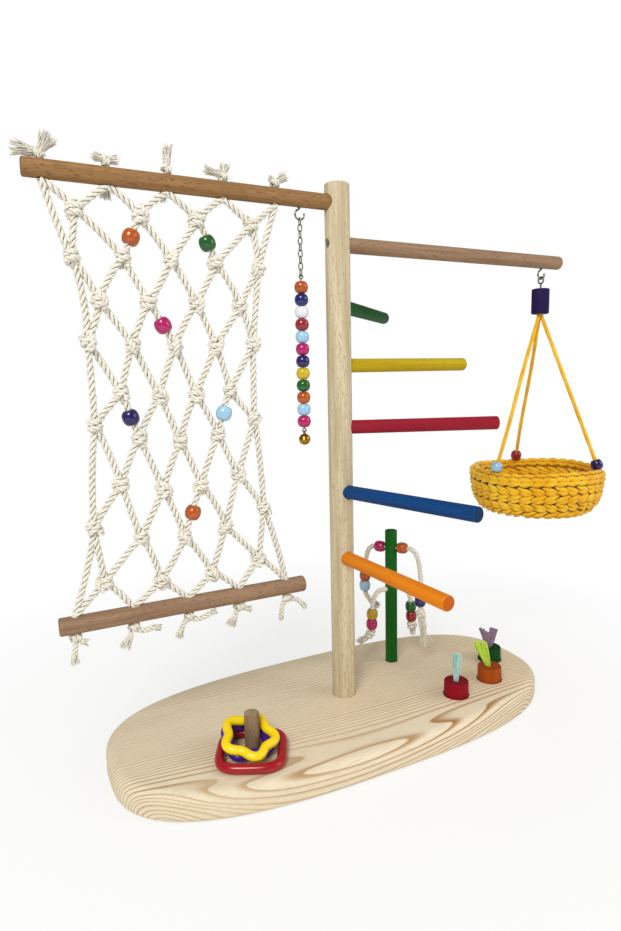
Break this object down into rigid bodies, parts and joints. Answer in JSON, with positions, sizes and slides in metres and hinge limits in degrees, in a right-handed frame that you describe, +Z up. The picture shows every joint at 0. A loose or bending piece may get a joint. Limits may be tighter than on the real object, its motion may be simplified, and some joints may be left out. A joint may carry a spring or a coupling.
{
  "type": "parrot play stand",
  "caption": "Free-standing play stand for small parrots: a post on a board with perches, rope net, bead strand, hanging nest, toy post, stacking rings and pull-out plugs.",
  "frame": {"origin": "centre of the base board's underside", "axes": "+Z up; +X along the board towards the arm that carries the nest; +Y to the back, away from the long perches"},
  "size_m": [0.564, 0.2506, 0.4942],
  "materials": {
    "arm_wood": "raw sanded dowel",
    "bead_crimson": "glossy lacquer",
    "bead_green": "glossy lacquer",
    "bead_indigo": "glossy lacquer",
    "bead_magenta": "glossy lacquer",
    "bead_orange": "glossy lacquer",
    "bead_sky": "glossy lacquer",
    "bead_yellow": "glossy lacquer",
    "beech": "raw sanded dowel",
    "bell_brass": "polished",
    "blue_dye": "water-dyed dowel",
    "brown_wood": "raw sanded dowel",
    "green_dye": "water-dyed dowel",
    "nickel": "bright nickel plating",
    "orange_dye": "water-dyed dowel",
    "paper_aqua": "crinkled",
    "paper_lilac": "crinkled",
    "paper_lime": "crinkled",
    "pine": "clear satin lacquer over strong grain",
    "plug_green": "water-dyed dowel",
    "plug_orange": "water-dyed dowel",
    "plug_red": "water-dyed dowel",
    "purple_dye": "water-dyed block",
    "red_dye": "water-dyed dowel",
    "ring_purple": "glossy",
    "ring_red": "glossy",
    "ring_yellow": "glossy",
    "rope": "twisted cotton",
    "steel": "plain screw steel",
    "strand_paint": "glossy lacquered beads in many colours",
    "yarn": "crocheted thick yarn",
    "yellow_dye": "water-dyed dowel"
  },
  "bodies": {
    "stand": {"base_board": "pine", "main_post": "beech", "perch_green": "green_dye", "perch_yellow": "yellow_dye", "perch_red": "red_dye", "perch_blue": "blue_dye", "perch_orange": "orange_dye", "net_arm": "arm_wood", "nest_arm": "brown_wood", "net_arm_screw": "steel", "nest_arm_screw": "steel", "post_foot_screw": "steel", "net_knot_1": "rope", "net_knot_2": "rope", "net_knot_3": "rope", "net_knot_4": "rope", "net_knot_5": "rope", "bead_hook": "nickel", "nest_hook": "nickel", "toy_post": "green_dye", "ring_peg": "brown_wood"},
    "net": {"climbing_net": "rope", "net_bar": "brown_wood", "net_bead_orange_top": "bead_orange", "net_bead_green": "bead_green", "net_bead_pink": "bead_magenta", "net_bead_indigo": "bead_indigo", "net_bead_sky": "bead_sky", "net_bead_orange_low": "bead_orange"},
    "chain": {"bead_chain": "nickel"},
    "strand": {"strand_wire": "nickel", "strand_beads": "strand_paint"},
    "jingle_bell": {"bell": "bell_brass"},
    "nest_hanger": {"nest_eye": "nickel", "nest_block": "purple_dye"},
    "nest": {"nest_cords": "yarn", "rim_bead_sky": "bead_sky", "rim_bead_crimson": "bead_crimson", "rim_bead_indigo": "bead_indigo", "nest_basket": "yarn"},
    "rope_upper_left": {"toy_rope_upper_left": "rope", "toy_bead_pink": "bead_magenta", "toy_beads_upper_left": "bead_orange"},
    "rope_upper_right": {"toy_rope_upper_right": "rope", "toy_bead_orange": "bead_orange", "toy_beads_upper_right": "bead_indigo"},
    "rope_lower_left": {"toy_rope_lower_left": "rope", "toy_beads_lower_left": "bead_yellow"},
    "rope_lower_right": {"toy_rope_lower_right": "rope", "toy_beads_lower_right": "bead_green"},
    "red_ring": {"ring_red": "ring_red"},
    "purple_ring": {"ring_purple": "ring_purple"},
    "yellow_ring": {"ring_yellow": "ring_yellow"},
    "red_plug": {"plug_red": "plug_red"},
    "orange_plug": {"plug_orange": "plug_orange"},
    "green_plug": {"plug_green": "plug_green"},
    "aqua_paper": {"paper_loops_aqua": "paper_aqua"},
    "lime_paper": {"paper_loops_lime": "paper_lime"},
    "lilac_paper": {"paper_fringe_lilac": "paper_lilac"}
  },
  "joints": [
    {"name": "net_swing", "type": "hinge", "parent": "stand", "child": "net", "pos_m": [-0.1421, 0.0026, 0.4755], "axis": [1, 0, 0], "range_deg": [-20, 20]},
    {"name": "chain_swing", "type": "hinge", "parent": "stand", "child": "chain", "pos_m": [-0.03, 0.0026, 0.4586], "axis": [1, 0, 0], "range_deg": [-20, 20]},
    {"name": "strand_swing", "type": "hinge", "parent": "chain", "child": "strand", "pos_m": [-0.03, 0.0026, 0.4122], "axis": [0, 1, 0], "range_deg": [-5, 5]},
    {"name": "bell_swing", "type": "hinge", "parent": "strand", "child": "jingle_bell", "pos_m": [-0.03, 0.0026, 0.2781], "axis": [1, 0, 0], "range_deg": [-20, 20]},
    {"name": "nest_swing", "type": "hinge", "parent": "stand", "child": "nest_hanger", "pos_m": [0.2516, 0.0026, 0.4236], "axis": [1, 0, 0], "range_deg": [-20, 20]},
    {"name": "nest_rock", "type": "hinge", "parent": "nest_hanger", "child": "nest", "pos_m": [0.2516, 0.0026, 0.3895], "axis": [0, 1, 0], "range_deg": [-8, 8]},
    {"name": "upper_left_rope_swing", "type": "hinge", "parent": "stand", "child": "rope_upper_left", "pos_m": [0.0857, 0.0387, 0.148], "axis": [0.6691, -0.7431, 0], "range_deg": [-5, 25]},
    {"name": "upper_right_rope_swing", "type": "hinge", "parent": "stand", "child": "rope_upper_right", "pos_m": [0.0857, 0.0387, 0.148], "axis": [0.6691, -0.7431, 0], "range_deg": [-25, 8]},
    {"name": "lower_left_rope_swing", "type": "hinge", "parent": "stand", "child": "rope_lower_left", "pos_m": [0.0857, 0.0387, 0.103], "axis": [0.9962, -0.0872, 0], "range_deg": [-25, 8]},
    {"name": "lower_right_rope_swing", "type": "hinge", "parent": "stand", "child": "rope_lower_right", "pos_m": [0.0857, 0.0387, 0.103], "axis": [0.9962, -0.0872, 0], "range_deg": [-8, 25]},
    {"name": "red_ring_lift", "type": "slide", "parent": "stand", "child": "red_ring", "axis": [0, 0, 1], "range_m": [0, 0.04]},
    {"name": "purple_ring_lift", "type": "slide", "parent": "red_ring", "child": "purple_ring", "axis": [0, 0, 1], "range_m": [0, 0.04]},
    {"name": "yellow_ring_lift", "type": "slide", "parent": "purple_ring", "child": "yellow_ring", "axis": [0, 0, 1], "range_m": [0, 0.04]},
    {"name": "red_plug_pull", "type": "slide", "parent": "stand", "child": "red_plug", "axis": [0, 0, 1], "range_m": [0, 0.03]},
    {"name": "aqua_paper_pull", "type": "slide", "parent": "red_plug", "child": "aqua_paper", "axis": [0, 0, 1], "range_m": [0, 0.01]},
    {"name": "orange_plug_pull", "type": "slide", "parent": "stand", "child": "orange_plug", "axis": [0, 0, 1], "range_m": [0, 0.03]},
    {"name": "lime_paper_pull", "type": "slide", "parent": "orange_plug", "child": "lime_paper", "axis": [0, 0, 1], "range_m": [0, 0.01]},
    {"name": "green_plug_pull", "type": "slide", "parent": "stand", "child": "green_plug", "axis": [0, 0, 1], "range_m": [0, 0.03]},
    {"name": "lilac_paper_pull", "type": "slide", "parent": "green_plug", "child": "lilac_paper", "axis": [0, 0, 1], "range_m": [0, 0.01]}
  ]
}
